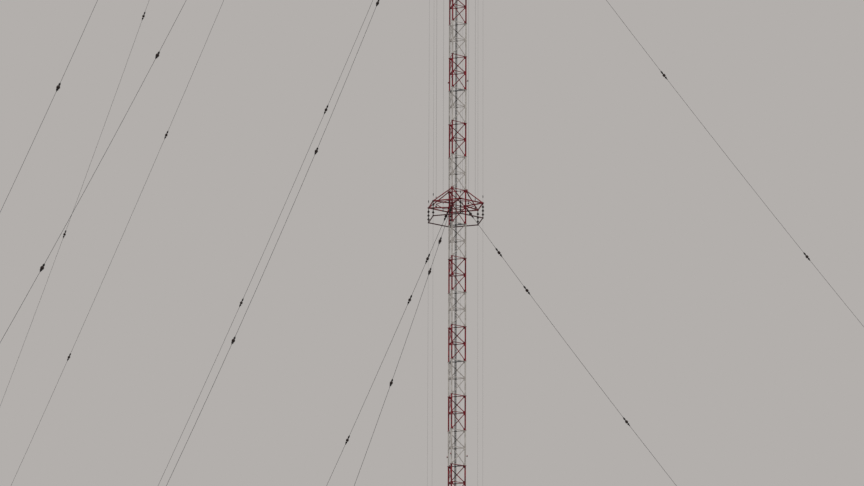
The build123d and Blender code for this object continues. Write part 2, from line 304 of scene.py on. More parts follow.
def add_node(tree, kind, *numbered, settings=None, stops=(), **named):
    """Add a node with its settings, its (position, hex colour) stops if any, and its inputs."""
    node = tree.nodes.new(kind)
    for name, value in (settings or {}).items():
        setattr(node, name, value)
    for index, (position, code) in enumerate(stops):
        element = node.color_ramp.elements[index]
        element.position, element.color = position, hex_colour(code)
    connect(tree, node, *numbered, **named)
    return node


def start_material(name, **surface):
    """A material with its shader's plain values set, and the object coordinates to build on."""
    material = bpy.data.materials.new(name)
    material.use_nodes = True
    tree = material.node_tree
    shader = tree.nodes["Principled BSDF"]
    connect(tree, shader, **surface)
    place = add_node(tree, "ShaderNodeTexCoord").outputs["Object"]
    return material, tree, shader, place


# %% [markdown]
# ### Alkyd paint on steel tube
# The mast is painted in bands with brushed alkyd paint over zinc. Outdoors it chalks, darkens
# with soot in runs down the tube, and wears to primer at edges. The runs are noise stretched
# along Z. The thin lower ring hangs under everything above it, so it gets a copy of the red
# darkened nearly to black as painted shade.

# %% Paint
def alkyd_paint(name, fresh, aged, soot, rust):
    material, tree, shader, place = start_material(name, Roughness=0.5, Specular_IOR_Level=0.25)
    patch_size, chip_size, brush_depth = 0.45 * real, 0.05 * real, 0.002 * real
    run_width, run_length = 0.03 * real, 0.8 * real
    patches = add_node(tree, "ShaderNodeTexNoise", Vector=place, Scale=1 / patch_size, Detail=6.0,
                       Roughness=0.6)
    tone = add_node(tree, "ShaderNodeValToRGB", patches, stops=((0.40, aged), (0.60, fresh)))
    stretch = add_node(tree, "ShaderNodeMapping", Vector=place,
                       Scale=(1 / run_width, 1 / run_width, 1 / run_length))
    runs = add_node(tree, "ShaderNodeTexNoise", Vector=stretch, Scale=1.0, Detail=4.0)
    run_share = add_node(tree, "ShaderNodeMapRange", runs, From_Min=0.48, From_Max=0.70,
                         To_Max=0.70)
    sooty = add_node(tree, "ShaderNodeMix", settings={"data_type": "RGBA"}, Factor=run_share,
                     A=tone, B=hex_colour(soot))
    chips = add_node(tree, "ShaderNodeTexNoise", Vector=place, Scale=1 / chip_size, Detail=3.0)
    chip_share = add_node(tree, "ShaderNodeMapRange", chips, From_Min=0.68, From_Max=0.72)
    worn = add_node(tree, "ShaderNodeMix", settings={"data_type": "RGBA"}, Factor=chip_share,
                    A=sooty, B=hex_colour(rust))
    gloss = add_node(tree, "ShaderNodeMapRange", patches, To_Min=0.4, To_Max=0.65)
    brushed = add_node(tree, "ShaderNodeBump", Strength=0.25, Distance=brush_depth, Height=runs)
    connect(tree, shader, Base_Color=worn, Roughness=gloss, Normal=brushed)
    return material


red_paint = alkyd_paint("red_alkyd_paint", fresh="881724", aged="5c0f1a", soot="330f14",
                        rust="47201b")
# A copy of the red darkened nearly to black, as painted shade for the hanging lower ring.
shaded_red_paint = alkyd_paint("shaded_red_alkyd_paint", fresh="4d1f23", aged="3a1a1d", soot="231416",
                              rust="33201c")
white_paint = alkyd_paint("white_alkyd_paint", fresh="bab5af", aged="9d9892", soot="7f7a74",
                          rust="6e5242")
print("paints", red_paint.name, white_paint.name)

# %% [markdown]
# ### Metal finishes
# Hot-dip galvanised steel dulls to grey with the faint cells of its zinc crystals. Ladder and
# feeder are coated black. Guys are greased steel strand, almost black with soot.

# %% Metals
def galvanised(name):
    material, tree, shader, place = start_material(name, Metallic=0.85, Roughness=0.5)
    cell_size = 0.03 * real
    cells = add_node(tree, "ShaderNodeTexVoronoi", Vector=place, Scale=1 / cell_size).outputs
    shine = add_node(tree, "ShaderNodeValToRGB", cells["Color"],
                     stops=((0.2, "797e82"), (0.8, "8d9295")))
    dull = add_node(tree, "ShaderNodeMapRange", cells["Distance"], To_Min=0.42, To_Max=0.62)
    connect(tree, shader, Base_Color=shine, Roughness=dull)
    return material


def coated_steel(name, low, high, metallic, grain):
    material, tree, shader, place = start_material(name, Metallic=metallic, Roughness=0.6,
                                                   Specular_IOR_Level=0.2)
    pit_depth = 0.003 * real
    mottle = add_node(tree, "ShaderNodeTexNoise", Vector=place, Scale=1 / grain, Detail=5.0)
    tone = add_node(tree, "ShaderNodeValToRGB", mottle, stops=((0.3, low), (0.7, high)))
    dull = add_node(tree, "ShaderNodeMapRange", mottle, To_Min=0.45, To_Max=0.75)
    pitted = add_node(tree, "ShaderNodeBump", Strength=0.3, Distance=pit_depth, Height=mottle)
    connect(tree, shader, Base_Color=tone, Roughness=dull, Normal=pitted)
    return material


galvanised_steel = galvanised("hot_dip_galvanised_steel")
black_coated_steel = coated_steel("black_coated_steel", "131212", "211f1f", 0.0, 0.15 * real)
greased_strand = coated_steel("greased_steel_strand", "3a3a3b", "515052", 0.6, 0.06 * real)
print("metals", galvanised_steel.name, black_coated_steel.name, greased_strand.name)

# %% [markdown]
# ### Glaze, concrete and glass
# Insulators are porcelain under a dark brown glaze, smooth and shiny as glass, with a little
# dust. Concrete is cast against boards and stained by rain. Lamp lenses are pressed red glass.

# %% Glaze, concrete and glass
def glazed_porcelain(name):
    material, tree, shader, place = start_material(name, IOR=1.5, Specular_IOR_Level=0.25,
                                                   Coat_Weight=0.1, Coat_Roughness=0.1)
    dust_size = 0.08 * real
    dust = add_node(tree, "ShaderNodeTexNoise", Vector=place, Scale=1 / dust_size, Detail=4.0)
    tone = add_node(tree, "ShaderNodeValToRGB", dust, stops=((0.35, "1a0f0d"), (0.75, "2b1c18")))
    film = add_node(tree, "ShaderNodeMapRange", dust, To_Min=0.12, To_Max=0.4)
    connect(tree, shader, Base_Color=tone, Roughness=film)
    return material


def cast_concrete(name):
    material, tree, shader, place = start_material(name, Roughness=0.9)
    stain_size, grit_size, board_width = 1.2 * real, 0.04 * real, 0.12 * real
    relief_depth = 0.01 * real
    stain = add_node(tree, "ShaderNodeTexNoise", Vector=place, Scale=1 / stain_size, Detail=8.0)
    tone = add_node(tree, "ShaderNodeValToRGB", stain, stops=((0.3, "8d8a82"), (0.7, "a9a69d")))
    grit = add_node(tree, "ShaderNodeTexNoise", Vector=place, Scale=1 / grit_size, Detail=6.0)
    boards = add_node(tree, "ShaderNodeTexWave", settings={"bands_direction": "Z"}, Vector=place,
                      Scale=0.3 / board_width, Distortion=0.6, Detail=2.0)
    relief = add_node(tree, "ShaderNodeMath", grit, boards.outputs["Fac"],
                      settings={"operation": "ADD"})
    bump = add_node(tree, "ShaderNodeBump", Strength=0.5, Distance=relief_depth, Height=relief)
    connect(tree, shader, Base_Color=tone, Normal=bump)
    return material


def pressed_glass(name):
    material, tree, shader, place = start_material(name, Roughness=0.12, IOR=1.5,
                                                   Transmission_Weight=0.35)
    swirl_size = 0.1 * real
    swirl = add_node(tree, "ShaderNodeTexNoise", Vector=place, Scale=1 / swirl_size, Detail=2.0)
    tone = add_node(tree, "ShaderNodeValToRGB", swirl, stops=((0.3, "7a0f14"), (0.7, "a3171c")))
    connect(tree, shader, Base_Color=tone)
    return material


brown_glaze = glazed_porcelain("brown_glazed_porcelain")
concrete = cast_concrete("board_cast_concrete")
red_glass = pressed_glass("pressed_red_glass")
print("glaze, concrete and glass made")

# %% [markdown]
# ## Finishes of the CAD nodes
# Most of the steel is right as the frame gives it: straight tubes, flat bars and rings. Those
# nodes stay and only change their finish.

# %% Finish the CAD nodes
finishes = {
    "galvanised_steel": galvanised_steel, "dark_steel": black_coated_steel,
    "wire_steel": greased_strand, "brown_glaze": brown_glaze, "concrete": concrete,
    "lamp_glass": red_glass, "red_paint": red_paint, "white_paint": white_paint,
}


def give_finish(piece, finish):
    piece.data.materials.clear()
    piece.data.materials.append(finish)


for subpart in frame["record"]["subparts"]:
    give_finish(frame["nodes"][subpart["node"]], finishes[subpart["material_slot"]])
print("finished", len(frame["nodes"]), "CAD nodes")


# %% Helper for new pieces
def dress(piece, slot, *nodes, finish=None):
    """Give a piece its slot's finish and its body, and hide the CAD nodes that it stands for."""
    give_finish(piece, finish or finishes[slot])
    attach(piece, "root")
    if nodes:
        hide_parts(*nodes)
    print(piece.name, len(piece.data.polygons), "faces")
    return piece


# %% [markdown]
# ### Broken edges
# A real plate or casting has no razor edge: it is filed, rolled or struck off, and that narrow
# band catches the light. Bevelling by hand would be slow, so a copy of the node's mesh is merged,
# its flat faces are dissolved back to whole ones, and one bevel modifier breaks every sharp edge.

# %% Break the edges of the plates and the pedestal
def eased(name, node, width, segments=1):
    """A copy of a CAD node's mesh with its sharp edges broken."""
    piece = bpy.data.objects.new(name, frame["nodes"][node].data.copy())
    bpy.context.collection.objects.link(piece)
    pick(piece)
    bpy.ops.object.mode_set(mode="EDIT")
    bpy.ops.mesh.select_all(action="SELECT")
    bpy.ops.mesh.remove_doubles(threshold=0.01 * real * real)
    bpy.ops.mesh.dissolve_limited(angle_limit=radians(1))
    bpy.ops.object.mode_set(mode="OBJECT")
    return applied(piece, "BEVEL", width=width, segments=segments, limit_method="ANGLE",
                   angle_limit=radians(35))


dress(eased("cast_pedestal", "pedestal", 0.05 * real, 2), "concrete", "pedestal")
for name, node in (("base_bed_plate", "bed_plate"), ("welded_foot_frame", "foot_frame"),
                   ("mast_head_plate", "head_plate"), ("forged_anchor_plates", "anchor_plates")):
    dress(eased(name, node, 0.006 * real), "galvanised_steel", node)

# %% [markdown]
# ## Bolts
# Flanges, gussets and base plates are all bolted, so one low hexagon head serves everywhere. It
# is drawn coarse, with one small chamfer, because it is copied thousands of times.

# %% Model a bolt head
def bolt_head(name, width, height):
    return turned(name, [(width / 2, 0), (width / 2, height * 0.7), (width * 0.38, height)],
                  vertices=6)


def bolt_circle(name, width, height, radius, count, level=0.0, first=0.0):
    """Bolt heads on a circle, all upright."""
    head = bolt_head(name, width, height)
    turns = [first + 360 * step / count for step in range(count)]
    return placed(head, spread(radius, turns, level), name)


# %% [markdown]
# ## Legs
# The frame draws a leg as a six-sided bar, which is enough for its place. Here one length is
# turned as a sixteen-sided tube that shades round, and copied to every section of its colour.

# %% Model the legs
for colour, sections in colour_sections.items():
    for leg, azimuth in legs.items():
        tube = bar("tube", leg_radius, 0, section_height, 16)
        moves = [at(polar(leg_circle, azimuth, joint_height(index)))
                 for index in sections]
        lengths = smooth(placed(tube, moves, f"{leg}_leg_tubes_{colour}"))
        dress(lengths, f"{colour}_paint", f"{leg}_leg_{colour}")

# %% [markdown]
# ## Bracing
# Rails and diagonals are tubes pressed a little flat, so that they pass the ladder and the
# feeder. One panel of two rails and one cross is modelled for each side, because the crosses are
# staggered.

# %% Model the bracing
brace_radius = 0.050 * real
rail_radius = 0.041 * real
brace_inset = 0.0735 * real
pressed_share = 0.6
top_rail_drop = 0.03 * real


def strut(start, end, radius):
    """A pressed tube between two points of the YZ plane."""
    run = end - start
    tube = moved(bar("strut", radius, 0, run.length, 8), Matrix.Scale(pressed_share, 4, (1, 0, 0)))
    return moved(tube, Matrix.Translation(start) @ Matrix.Rotation(-atan2(run.y, run.z), 4, "X"))


def panel(bay):
    """Two rails and the cross of one bay, in the YZ plane, from the section's lower edge up."""
    low, high = bay * bay_height + brace_inset, (bay + 1) * bay_height - brace_inset
    rails = [strut(Vector((0, -clear_half, height)), Vector((0, clear_half, height)), rail_radius)
             for height in (bay_height, section_height - top_rail_drop)]
    braces = [strut(Vector((0, -edge * clear_half, low)), Vector((0, edge * clear_half, high)),
                    brace_radius) for edge in (-1, 1)]
    return joined("panel", *rails, *braces)


for colour, sections in colour_sections.items():
    for side, azimuth in sides.items():
        moves = [at(polar(side_offset, azimuth, joint_height(index)), azimuth)
                 for index in sections]
        tubes = placed(panel(crossed_bay[side]), moves, f"{side}_bracing_tubes_{colour}")
        dress(smooth(tubes, 50), f"{colour}_paint", f"{side}_bracing_{colour}")

# %% [markdown]
# ## Leg flanges
# The legs come in lengths of one section, bolted through round flanges. Half a flange belongs to
# the length above and half to the one below, and each half has its own paint. Half a flange is
# modelled once with its bolt heads and turned over for the other half.

# %% Add the leg flanges
flange_radius = 0.145 * real
flange_thickness = 0.024 * real
flange_bolt = 0.04 * real


def half_flange():
    """A disc from the joint upwards, with bolt heads on it and a weld collar round the leg."""
    disc = turned("disc", [(flange_radius, 0), (flange_radius, flange_thickness * 0.8),
                           (flange_radius * 0.97, flange_thickness),
                           (leg_radius * 1.12, flange_thickness * 1.1),
                           (leg_radius * 1.0, flange_thickness * 2.4)])
    bolts = bolt_circle("bolts", flange_bolt, flange_bolt * 0.6,
                        (flange_radius + leg_radius) / 2, 6, flange_thickness)
    return joined("half_flange", disc, bolts)


turned_over = half["X"]
for colour, sections in colour_sections.items():
    moves = []
    for index in sections:
        for azimuth in legs.values():
            if index > 0:
                moves.append(at(polar(leg_circle, azimuth, joint_height(index))))
            if index < section_count - 1:
                moves.append(at(polar(leg_circle, azimuth, joint_height(index + 1))) @ turned_over)
    flanges = placed(half_flange(), moves, f"leg_flanges_{colour}")
    dress(smooth(flanges), f"{colour}_paint")

# %% [markdown]
# ## Gussets
# Each end of a diagonal is bolted to a gusset plate welded to the leg. The plates fill the corner
# between leg and rail. One plate is modelled flat with cut corners and two bolt heads a face.

# %% Add the gussets
gusset_width = 0.17 * real
gusset_height = 0.26 * real
gusset_thickness = 0.066 * real


def gusset():
    """A plate in the XZ plane, its outer upper corner at the origin, standing for the left leg."""
    piece = plate("gusset", gusset_width, gusset_height, gusset_thickness,
                  corner=gusset_width * 0.34, place=(gusset_width / 2, -gusset_height / 2, 0))
    head = bolt_head("head", 0.04 * real, 0.026 * real)
    spots = [Vector((gusset_width * share, -gusset_height * share, gusset_thickness / 2))
             for share in (0.36, 0.62)]
    bolts = placed(head, [Matrix.Translation(spot) for spot in spots], "heads")
    piece = joined("gusset", piece, bolts)
    return moved(piece, quarter["X"])


upside = half["Y"]
for colour, sections in colour_sections.items():
    moves = []
    for index in sections:
        for side, azimuth in sides.items():
            low = joint_height(index) + crossed_bay[side] * bay_height
            face = at(polar(side_offset, azimuth, 0), azimuth + 90)
            for edge, lift, turn in ((-1, bay_height, Matrix.Identity(4)),
                                     (1, bay_height, half["Z"]),
                                     (1, 0, upside), (-1, 0, upside @ half["Z"])):
                moves.append(face @ shift(edge * clear_half, 0, low + lift) @ turn)
    gussets = placed(gusset(), moves, f"gussets_{colour}")
    dress(gussets, f"{colour}_paint")

# %% [markdown]
# ## Crossing plates
# Where two diagonals cross they share one bolt through a small round plate.

# %% Add the crossing plates
crossing_radius = 0.075 * real
boss_steps = [(0.9, -0.034), (1.0, -0.03), (1.0, 0.03), (0.9, 0.034), (0.4, 0.035), (0.36, 0.055)]
for colour, sections in colour_sections.items():
    boss = turned("boss", profile(boss_steps, crossing_radius), vertices=8)
    moves = []
    for index in sections:
        for side, azimuth in sides.items():
            height = joint_height(index) + (crossed_bay[side] + 0.5) * bay_height
            moves.append(at(polar(side_offset, azimuth, height), azimuth) @ quarter["Y"])
    dress(placed(boss, moves, f"crossing_plates_{colour}"), f"{colour}_paint")

# %% [markdown]
# ## Ladder
# In the photograph the ladder is one thin black line. Its stiles stand where the frame has them,
# and only their section is a little slimmer than the frame's bars, with its corners cut back.
# Rungs are round bar every 30 cm, which an array repeats from one modelled rung, and a pair of
# brackets in every bay holds the stiles to the rails.

# %% Model the stiles
ladder_offset = 0.345 * real
ladder_slide = 0.10 * real
ladder_width = 0.20 * real
stile_depth, stile_width = 0.04 * real, 0.045 * real
ladder_turn = at((0, 0, 0), sides["northeast"])
shaft_height = mast_top - base_height
stile = plate("stile", stile_depth, stile_width, shaft_height, corner=0.008 * real,
              place=(0, 0, base_height + shaft_height / 2))
moves = [ladder_turn @ shift(ladder_offset, ladder_slide + edge * ladder_width / 2, 0)
         for edge in (-1, 1)]
dress(placed(stile, moves, "ladder_stiles"), "dark_steel", "ladder")

# %% Add the rungs
rung_spacing = 0.30 * real
rung_radius = 0.014 * real

rung = bar("ladder_rungs", rung_radius, -ladder_width / 2, ladder_width / 2, 6)
rung = moved(rung, ladder_turn @ shift(ladder_offset, ladder_slide, base_height + rung_spacing)
             @ quarter["X"])
rung_count = int(shaft_height / rung_spacing) - 1
rungs = applied(rung, "ARRAY", count=rung_count, use_relative_offset=False,
                use_constant_offset=True, constant_offset_displace=(0, 0, rung_spacing))
dress(rungs, "dark_steel")

# %% Add the ladder brackets
bracket_reach = side_offset - panel_half - ladder_offset
bracket_drop = 0.03 * real
foot = plate("foot", 0.09 * real, 0.05 * real, 0.012 * real, corner=0.01 * real)
foot = moved(foot, shift(bracket_reach, 0, 0) @ quarter["Y"])
arm = plate("arm", bracket_reach, 0.014 * real, 0.05 * real, corner=0.004 * real,
            place=(bracket_reach / 2, 0, 0))
ladder_bracket = joined("ladder_bracket", arm, foot)
moves = [ladder_turn @ shift(ladder_offset, ladder_slide + edge * ladder_width / 2,
                             base_height + step * bay_height - bracket_drop)
         for step in range(1, section_count * 2) for edge in (-1, 1)]
dress(placed(ladder_bracket, moves, "ladder_brackets"), "dark_steel")

# %% [markdown]
# ## Feeder
# The feeder is a round black coaxial line fixed inside the panel. A split clamp with a bolt holds
# it below every rail.

# %% Model the feeder and its clamps
feeder_width = 0.07 * real
clamp = plate("clamp", feeder_width * 1.7, feeder_width * 1.25, 0.035 * real,
              corner=feeder_width * 0.3)
clamp_bolt = moved(bolt_head("clamp_bolt", 0.03 * real, 0.02 * real),
                   shift(0, feeder_width * 0.7, 0.016 * real))
clamp = joined("feeder_clamp", clamp, clamp_bolt)
feeder_offset = side_offset - panel_half - feeder_width / 2
feeder_slide = 0.16 * real
clamp_inset, clamp_drop = 0.004 * real, 0.10 * real
feeder = bar("feeder_line", feeder_width * 0.46, base_height, mast_top, 12)
feeder = moved(feeder, ladder_turn @ shift(feeder_offset, feeder_slide, 0))
dress(smooth(feeder), "dark_steel", "feeder")
moves = [ladder_turn @ at((feeder_offset - clamp_inset, feeder_slide,
                           base_height + step * bay_height - clamp_drop), 90)
         for step in range(1, section_count * 2 + 1)]
dress(placed(clamp, moves, "feeder_clamps"), "galvanised_steel")

# %% [markdown]
# ## Rest platforms
# A rest platform is open grating, so that wind and rain pass. Slats run along the side of the
# shaft, bearing bars cross them, and a gap is left for the climber and another for the feeder.

# %% Model the gratings
lamp_sections = (6, 17, 28, 39, 50, 61)
platform_levels = [section + step for section in lamp_sections for step in (0, 3, 7)
                   if section + step < section_count]
shaft_clear = side_offset - panel_half
platform_depth = 0.50 * real
platform_thickness = 0.04 * real
hatch = (0.10 - 0.31) * real, (0.10 + 0.31) * real
hatch_edge = 0.365 * real
notch = (0.16 - 0.035) * real, (0.16 + 0.035) * real
notch_depth = 0.08 * real
slat_count, slat_width, slat_depth = 11, 0.008 * real, 0.03 * real
edge_width, bearer_width = 0.016 * real, 0.012 * real
end_gap, shortest_slat = 0.01 * real, 0.02 * real


def free_spans(reach, *gaps):
    """Parts of the span from -reach to reach that lie outside the gaps."""
    edges = [-reach] + [edge for gap in gaps for edge in gap] + [reach]
    return [(low, high) for low, high in zip(edges[::2], edges[1::2]) if high - low > shortest_slat]


def grating():
    """A platform with its top at height 0, its long side against the panel at x = shaft_clear."""
    middle = -platform_thickness / 2
    bars = []
    for step in range(slat_count):
        x = shaft_clear - end_gap - (platform_depth - 2 * end_gap) * step / (slat_count - 1)
        reach = min((shaft_clear + x / 2) / cos(pi / 6), 0.9 * real) - end_gap
        gaps = [hatch] if x < hatch_edge else [notch] if x > shaft_clear - notch_depth else []
        width, depth = slat_width, slat_depth
        if step in (0, slat_count - 1):
            width, depth = edge_width, platform_thickness
        for low, high in free_spans(reach, *gaps):
            bars.append(plate("slat", width, high - low, depth,
                              place=(x, (low + high) / 2, middle)))
    for y in (-0.62, -0.42, hatch[0] / real, hatch[1] / real, 0.56):
        bars.append(plate("bearer", platform_depth - 2 * end_gap, bearer_width,
                          platform_thickness * 0.9,
                          place=(shaft_clear - platform_depth / 2, y * real, middle)))
    return joined("grating", *bars)


moves = [ladder_turn @ shift(0, 0, joint_height(level)) for level in platform_levels]
dress(placed(grating(), moves, "platform_gratings"), "galvanised_steel", "rest_platforms")

# %% [markdown]
# ## Guys
# A guy is steel strand broken into lengths by insulators, hanging in a shallow curve. The frame
# has each length bent once or twice. Here it is extruded step by step along the curve, which
# keeps a real sag without a simulation: a tight strand's curve is close to a parabola.

# %% Work out the guys' lines
anchor_height = 1.10 * real
anchor_radii = {"inner": 84.70 * real, "middle": 126.34 * real, "outer": 165.74 * real}
guy_levels = {
    "level_1": dict(section=12, anchor="inner", sag=0.028, insulators=(0.9, 6, 11, 28.7, 60)),
    "level_2": dict(section=24, anchor="inner", sag=0.0284, insulators=(0.9, 6, 11, 28.7, 60, 94)),
    "level_3": dict(section=36, anchor="middle", sag=0.0311,
                    insulators=(0.9, 6, 11, 36.1, 61.8, 92.5, 124, 156)),
    "level_4": dict(section=48, anchor="outer", sag=0.0322,
                    insulators=(0.9, 6, 11, 29.5, 58.2, 88.6, 121.5, 155, 187.8, 220.6)),
    "level_5": dict(section=60, anchor="outer", sag=0.0454,
                    insulators=(0.9, 6, 11, 29, 55.6, 82.8, 112.4, 143.3, 174.9, 206.5, 238)),
}
insulator_above, insulator_below = 0.65 * real, 0.60 * real
insulator_length = insulator_above + insulator_below
turnbuckle_length = 1.70 * real
anchor_plate_radius = 0.55 * real


class GuyLine:
    """The curve of a guy in the upright plane of the east leg."""

    def __init__(self, section, anchor, sag, insulators):
        self.top = joint_height(section) + bay_height
        self.reach = anchor_radii[anchor] - leg_circle
        self.rise = self.top - anchor_height
        self.length = hypot(self.reach, self.rise)
        self.sag = sag
        self.insulators = [distance * real for distance in insulators]

    def at(self, distance):
        share = distance / self.length
        drop = 4 * self.sag * self.length * share * (1 - share)
        return Vector((leg_circle + self.reach * share, 0, self.top - self.rise * share - drop))

    def insulator_move(self, distance):
        """A move that lays an insulator on the curve. Steps are longer where a guy is steeper."""
        return stretched(self.at(distance - insulator_above), self.at(distance + insulator_below),
                         insulator_length)


guy_lines = {level: GuyLine(**sizes) for level, sizes in guy_levels.items()}
leg_turns = [Matrix.Rotation(radians(azimuth), 4, "Z") for azimuth in legs.values()]
print("guys from", round(guy_lines["level_1"].length, 2), "to",
      round(guy_lines["level_5"].length, 2), "m")

# %% Extrude the strands
strand_radii = {"level_1": 0.0200 * real, "level_2": 0.0200 * real, "level_3": 0.0190 * real,
                "level_4": 0.0180 * real, "level_5": 0.0165 * real}
strand_step = 6.0 * real


def strand(line, start, end, radius):
    """A strand between two distances down a guy, from a circle extruded along the curve."""
    steps = max(2, round((end - start) / strand_step))
    points = [line.at(start + (end - start) * step / steps) for step in range(steps + 1)]
    run = points[1] - points[0]
    bpy.ops.object.select_all(action="DESELECT")
    bpy.ops.mesh.primitive_circle_add(vertices=6, radius=radius, fill_type="NGON",
                                      location=points[0],
                                      rotation=run.to_track_quat("Z", "Y").to_euler())
    piece = bpy.context.object
    bpy.ops.object.mode_set(mode="EDIT")
    for before, after in zip(points, points[1:]):
        bpy.ops.mesh.extrude_region_move(TRANSFORM_OT_translate={"value": after - before})
    bpy.ops.mesh.select_all(action="SELECT")
    bpy.ops.mesh.normals_make_consistent(inside=False)
    bpy.ops.object.mode_set(mode="OBJECT")
    bpy.ops.object.transform_apply(location=True, rotation=True, scale=True)
    return piece


for level, line in guy_lines.items():
    starts = [distance + insulator_below for distance in line.insulators]
    ends = [distance - insulator_above for distance in line.insulators[1:]]
    ends.append(line.length - turnbuckle_length)
    lengths = [strand(line, start, end, strand_radii[level]) for start, end in zip(starts, ends)]
    guy = placed(joined("guy", *lengths), leg_turns, f"strands_{level}")
    dress(smooth(guy, 70), "wire_steel", f"guys_{level}")

# %% [markdown]
# ## Guy insulators
# Measured against the sky each insulator is 1.25 m long: an iron clevis about 13 cm thick, a
# porcelain body of about 30 cm, a short bare gap, a smaller iron lump and a long tail. Porcelain
# and iron have separate finishes, so they are separate pieces.

# %% Add the guy insulators
body_radius = 0.170 * real


def porcelain_body():
    """Two sheds back to back round a thick core, on the Z axis, with the upper end at 0."""
    outline = [(0.30, -0.19), (0.58, -0.17), (0.92, -0.10), (1.00, -0.05), (0.88, 0.0),
               (1.00, 0.05), (0.90, 0.10), (0.52, 0.15), (0.26, 0.17)]
    return turned("porcelain", profile(outline, body_radius, low=insulator_above), vertices=14)


def clevises():
    """A tapered clevis above the body, and a bare pin, a lump and a tail below it."""
    above = [(0.024, -0.65), (0.050, -0.58), (0.094, -0.50), (0.100, -0.36), (0.066, -0.28),
             (0.052, -0.17)]
    below = [(0.042, 0.15), (0.034, 0.20), (0.110, 0.24), (0.116, 0.33), (0.066, 0.40),
             (0.050, 0.50), (0.024, 0.60)]
    pieces = [turned("clevis", profile(outline, low=insulator_above), vertices=10)
              for outline in (above, below)]
    return joined("clevises", *pieces)


for level, line in guy_lines.items():
    moves = [turn @ line.insulator_move(distance) for distance in line.insulators
             for turn in leg_turns]
    body = placed(porcelain_body(), moves, f"porcelain_{level}")
    dress(smooth(body, 50), "brown_glaze", f"guy_insulators_{level}")
    iron = placed(clevises(), moves, f"clevises_{level}")
    dress(smooth(iron, 60), "dark_steel")

# %% [markdown]
# ## Leg bands and links for the guys
# A guy pulls on a thick welded band round its leg. A forged link reaches from there to the first
# insulator, between two slim cheek plates with a pin. Band and cheeks are painted with the leg,
# so that only the tarred link shows dark, as in the photograph.

# %% Add the guy bands
band_radius = leg_radius * 1.35


def leg_band(name, height):
    """A thick band round a leg with rounded rims."""
    return turned(name, [(leg_radius * 1.02, -height / 2), (band_radius, -height * 0.42),
                         (band_radius, height * 0.42), (leg_radius * 1.02, height / 2)])


band = leg_band("guy_band", 0.34 * real)
moves = [turn @ shift(leg_circle, 0, line.top)
         for line in guy_lines.values() for turn in leg_turns]
dress(smooth(placed(band, moves, "guy_bands")), "red_paint")

link_start, link_end, cheek_distance = 0.08 * real, 0.45 * real, 0.30 * real
link_steps = [(0.024, 0.0), (0.038, 0.04), (0.038, 0.10), (0.025, 0.16), (0.025, 0.24),
              (0.036, 0.29), (0.022, 0.33)]
moves = []
for line in guy_lines.values():
    start = line.at(link_start)
    moves += [turn @ along(start, line.at(link_end) - start) for turn in leg_turns]
link = turned("link", profile(link_steps), vertices=8)
dress(smooth(placed(link, moves, "guy_links"), 50), "dark_steel", "guy_lugs")

cheek = plate("cheek", 0.34 * real, 0.13 * real, 0.02 * real, corner=0.04 * real)
cheek = moved(cheek, shift(0, 0, 0.05 * real))
pin = turned("pin", profile([(0.030, 0.0), (0.030, 0.075), (0.022, 0.08)]), vertices=8)
cheek = joined("cheek", cheek, pin)
cheeks = placed(cheek, [Matrix.Identity(4), half["X"]], "cheeks")
moves = []
for line in guy_lines.values():
    run = (line.at(link_end) - line.at(0)).normalized()
    lean = Matrix.Rotation(atan2(-run.z, run.x), 4, "Y") @ quarter["X"]
    moves += [turn @ Matrix.Translation(line.at(cheek_distance)) @ lean for turn in leg_turns]
dress(placed(cheeks, moves, "guy_cheeks"), "red_paint")

# %% [markdown]
# ## Turnbuckles
# At the anchor a turnbuckle sets each guy's tension: an open frame of two bars between threaded
# bosses, with a screw into each. It replaces the frame's plain bar.

# %% Add the turnbuckles
def turnbuckle(length):
    """An open turnbuckle on the Z axis, from 0 to its length."""
    reach = 0.3 * length
    bars = [moved(turned("bar", [(0.022 * real, reach), (0.026 * real, length / 2),
                                 (0.022 * real, length - reach)], vertices=8),
                  shift(edge * 0.062 * real, 0, 0)) for edge in (-1, 1)]
    boss = profile([(0.045, 0), (0.078, 0.03), (0.078, 0.1), (0.06, 0.14)])
    low_boss = moved(turned("boss", boss, vertices=10), shift(0, 0, reach - 0.05 * real))
    high_boss = moved(turned("boss", boss, vertices=10),
                      shift(0, 0, length - reach + 0.05 * real) @ turned_over)
    screws = [turned("screw", [(0.032 * real, low), (0.03 * real, high)], vertices=8)
              for low, high in ((0, length * 0.42), (length * 0.58, length))]
    return joined("turnbuckle", *bars, low_boss, high_boss, *screws)


rim_share = 0.9
frame_length = turnbuckle_length - anchor_plate_radius * rim_share
moves = []
for line in guy_lines.values():
    start, eye = line.at(line.length - turnbuckle_length), line.at(line.length)
    end = eye - (eye - start).normalized() * anchor_plate_radius * rim_share
    moves += [turn @ stretched(start, end, frame_length) for turn in leg_turns]
buckle = smooth(placed(turnbuckle(frame_length), moves, "turnbuckle_frames"))
dress(buckle, "galvanised_steel", "turnbuckles")

# %% [markdown]
# ## Anchors
# Each guy's turnbuckle ends at a round-headed steel plate that stands on a concrete block. Pins
# with washers hold the turnbuckles, and a base plate with nuts holds the anchor plate down. Cast
# edges are chamfered, because a sharp edge of concrete breaks off when its form is struck.

# %% Cast the anchor blocks
block_length, block_width = 4.2 * real, 2.6 * real
block_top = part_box("inner_anchor_blocks")[1].z
for name, radius in anchor_radii.items():
    block = plate("block", block_length, block_width, block_top, corner=0.10 * real,
                  place=(0, 0, block_top / 2))
    block = applied(block, "BEVEL", width=0.04 * real, segments=2, limit_method="ANGLE")
    blocks = placed(block, spread(radius, legs.values()), f"{name}_blocks")
    dress(blocks, "concrete", f"{name}_anchor_blocks")

